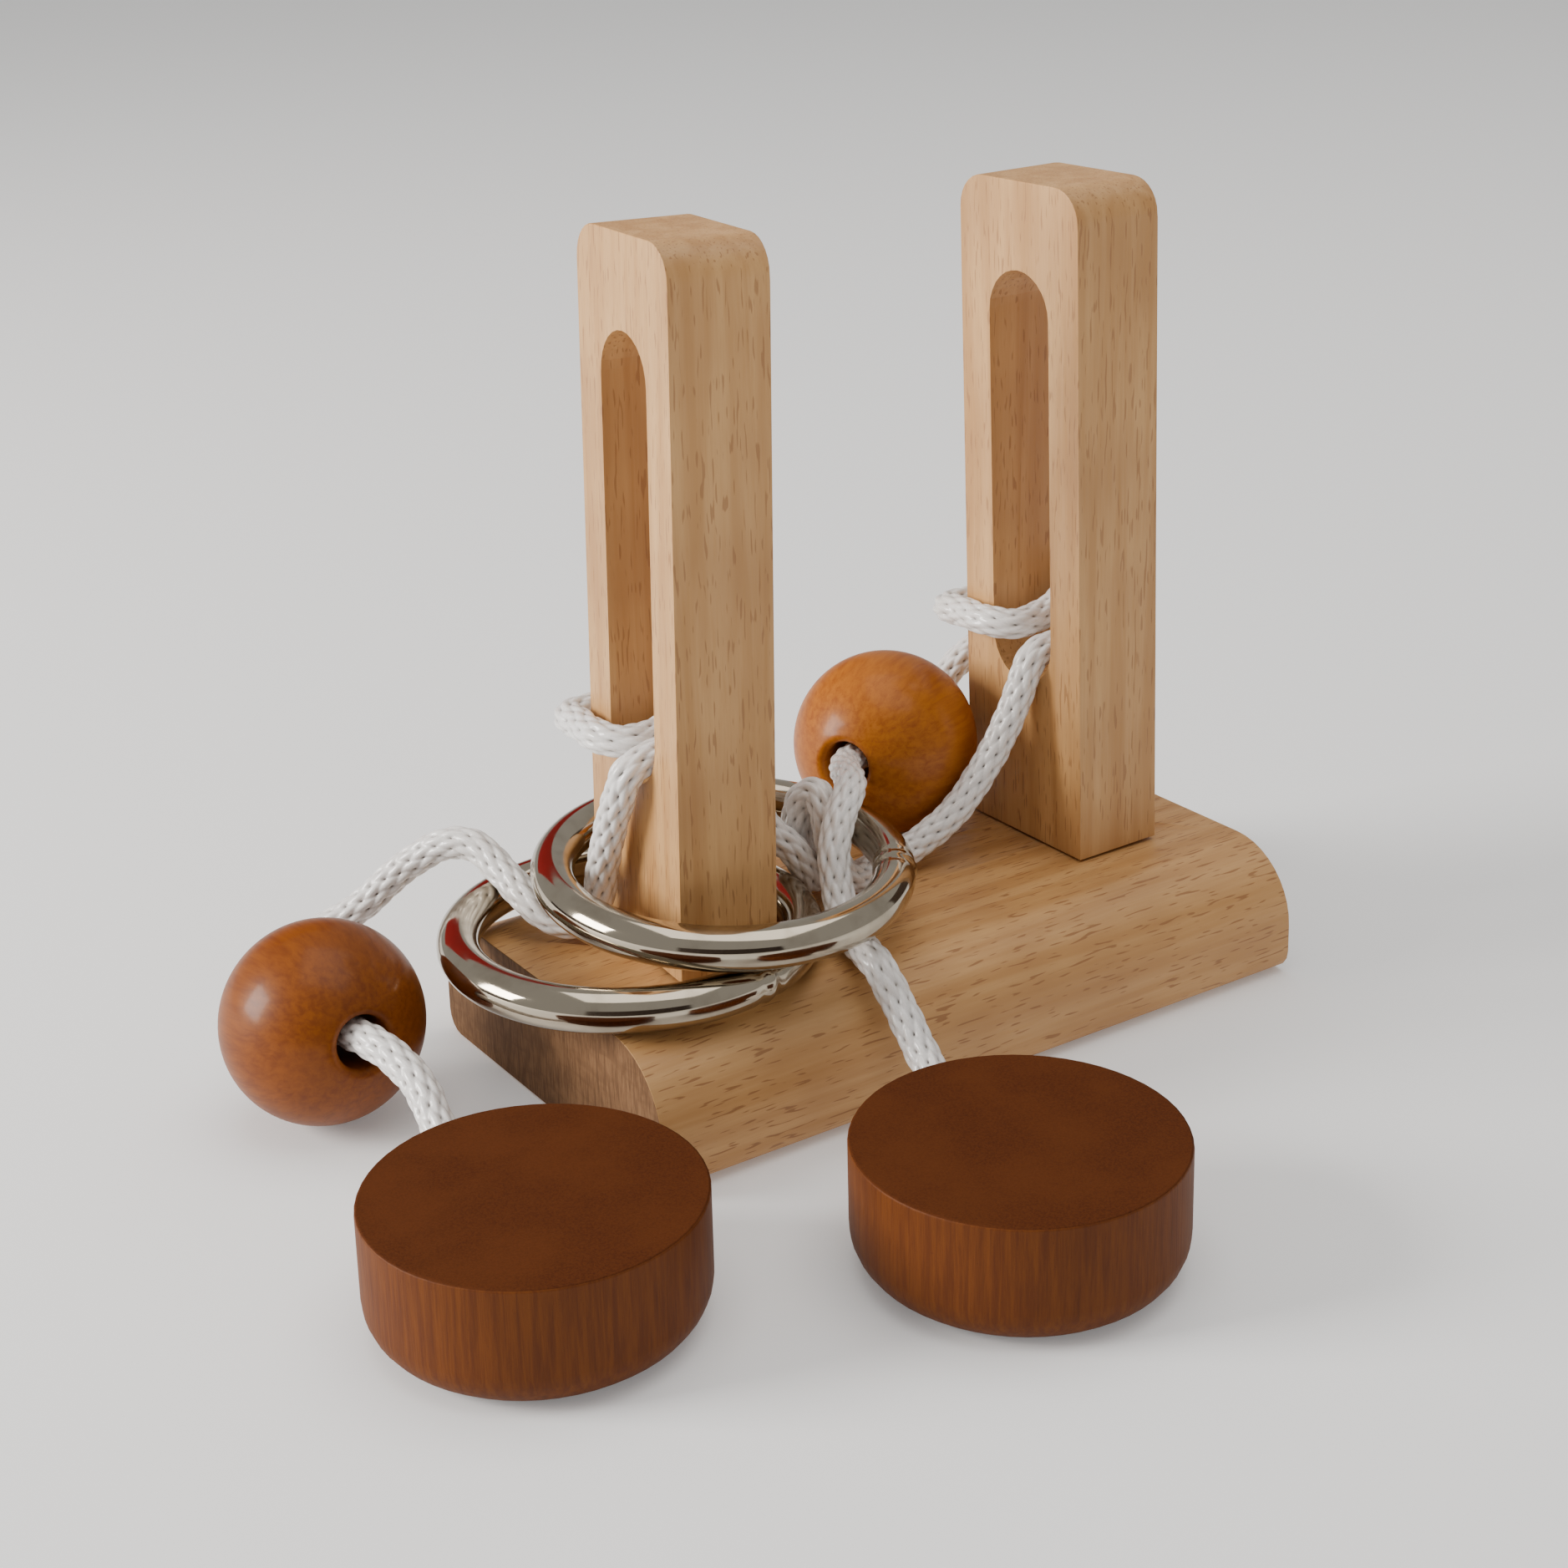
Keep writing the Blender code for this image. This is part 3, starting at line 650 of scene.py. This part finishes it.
def make_ring(node, axis, seam_bearing, finish):
    """A bent wire ring, with the raised bead and shallow waist of its weld seam."""
    around = 288
    sides = 40
    places = []
    for step in range(around):
        turn = 2 * math.pi * step / around
        away = math.remainder(turn - seam_bearing, 2 * math.pi) * RING_RADIUS
        swell = SEAM_HEIGHT * math.exp(-((away / SEAM_WIDTH) ** 2))
        waist = WAIST_DEPTH * math.exp(-(((abs(away) - WAIST_FROM_SEAM) / WAIST_WIDTH) ** 2))
        wire = RING_WIRE_RADIUS - WIRE_SLACK + swell - waist
        for k in range(sides):
            across = 2 * math.pi * k / sides
            radius = RING_RADIUS + wire * math.cos(across)
            places.append((radius * math.cos(turn), radius * math.sin(turn), wire * math.sin(across)))
    faces = []
    for step in range(around):
        after = (step + 1) % around
        for k in range(sides):
            n = (k + 1) % sides
            faces.append((step * sides + k, after * sides + k, after * sides + n, step * sides + n))
    mesh = bpy.data.meshes.new(node + "_wire")
    mesh.from_pydata(places, [], faces)
    mesh.shade_smooth()
    mesh.materials.append(finish)
    ring = bpy.data.objects.new(node + "_wire", mesh)
    bpy.context.scene.collection.objects.link(ring)
    tilt = Vector((0, 0, 1)).rotation_difference(axis).to_matrix().to_4x4()
    ring.matrix_world = Matrix.Translation(centre(node)) @ tilt
    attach(ring, node)
    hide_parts(node)


# ---------------------------------------------------------------- stage

def area_light(name, place, target, size, power, colour):
    data = bpy.data.lights.new(name, "AREA")
    data.shape = "RECTANGLE"
    data.size, data.size_y = size
    data.energy = power
    data.color = colour
    lamp = bpy.data.objects.new(name, data)
    bpy.context.scene.collection.objects.link(lamp)
    lamp.location = place
    lamp.rotation_euler = (Vector(target) - Vector(place)).to_track_quat("-Z", "Y").to_euler()


def card(name, place, size, colour):
    """An upright card facing the puzzle, which only shows in reflections in polished pieces."""
    width, height = size
    corners = [(-1, -1), (1, -1), (1, 1), (-1, 1)]
    mesh = bpy.data.meshes.new(name)
    mesh.from_pydata([(x * width / 2, y * height / 2, 0) for x, y in corners], [], [(0, 1, 2, 3)])
    made = bpy.data.objects.new(name, mesh)
    bpy.context.scene.collection.objects.link(made)
    made.location = place
    facing = Vector((-place[0], -place[1], 0))
    made.rotation_euler = facing.to_track_quat("Z", "Y").to_euler()
    made.visible_camera = False
    made.visible_diffuse = False
    made.visible_shadow = False
    finish, _, shader = new_material(name, 0.8)
    shader.inputs["Base Color"].default_value = (*colour, 1)
    mesh.materials.append(finish)


def make_stage():
    bpy.ops.mesh.primitive_plane_add(size=6)
    floor = bpy.context.active_object
    floor.name = "floor"
    floor.location.z = -0.0002
    finish, _, shader = new_material("pale_floor", 0.7)
    shader.inputs["Base Color"].default_value = (0.85, 0.85, 0.85, 1)
    shader.inputs["Emission Color"].default_value = (1.0, 1.0, 1.0, 1)
    shader.inputs["Emission Strength"].default_value = 0.16
    floor.data.materials.append(finish)
    middle = (-0.02, -0.01, 0.04)
    area_light("window", (-0.95, 0.40, 0.42), middle, (0.45, 0.45), 17, (1.0, 0.97, 0.93))
    area_light("overhead", (0.1, -0.1, 1.3), middle, (1.2, 1.2), 9, (1.0, 0.97, 0.94))
    card("red_card", (0.14, 0.99, 0.47), (0.70, 0.52), (0.30, 0.004, 0.004))
    card("dark_card_left", (-0.95, 0.62, 0.07), (0.9, 0.13), (0.03, 0.018, 0.014))
    card("dark_card_front", (-0.45, -0.80, 0.20), (1.0, 0.38), (0.03, 0.018, 0.014))
    card("dark_card_right", (0.95, 0.1, 0.2), (0.6, 0.36), (0.05, 0.03, 0.02))
    world = bpy.data.worlds.new("studio")
    world.use_nodes = True
    back = world.node_tree.nodes["Background"]
    back.inputs["Color"].default_value = (0.96, 0.95, 0.93, 1)
    back.inputs["Strength"].default_value = 0.5
    bpy.context.scene.world = world


# ---------------------------------------------------------------- assembly

make_camera()
make_cords(white_braid("white_braid"))
make_stand()
steel = chrome("chromed_steel")
make_ring("lower_ring", Vector((0, 0, 1)), math.radians(-76), steel)
make_ring("upper_ring", UPPER_RING_AXIS, math.radians(-35), steel)
left_lacquer = amber_lacquer("left_lacquer", (0.215, 0.055, 0.0020), (0.135, 0.028, 0.0012))
right_lacquer = amber_lacquer("right_lacquer", (0.38, 0.118, 0.0090), (0.25, 0.062, 0.0040))
make_bead("left_bead", LEFT_BEAD_AXIS, left_lacquer)
make_bead("right_bead", RIGHT_BEAD_AXIS, right_lacquer)
stain_top = brown_stain_top("brown_stain_top")
stain_side = brown_stain_side("brown_stain_side")
make_disc("left_disc", stain_top, stain_side)
make_disc("right_disc", stain_top, stain_side)
make_stage()
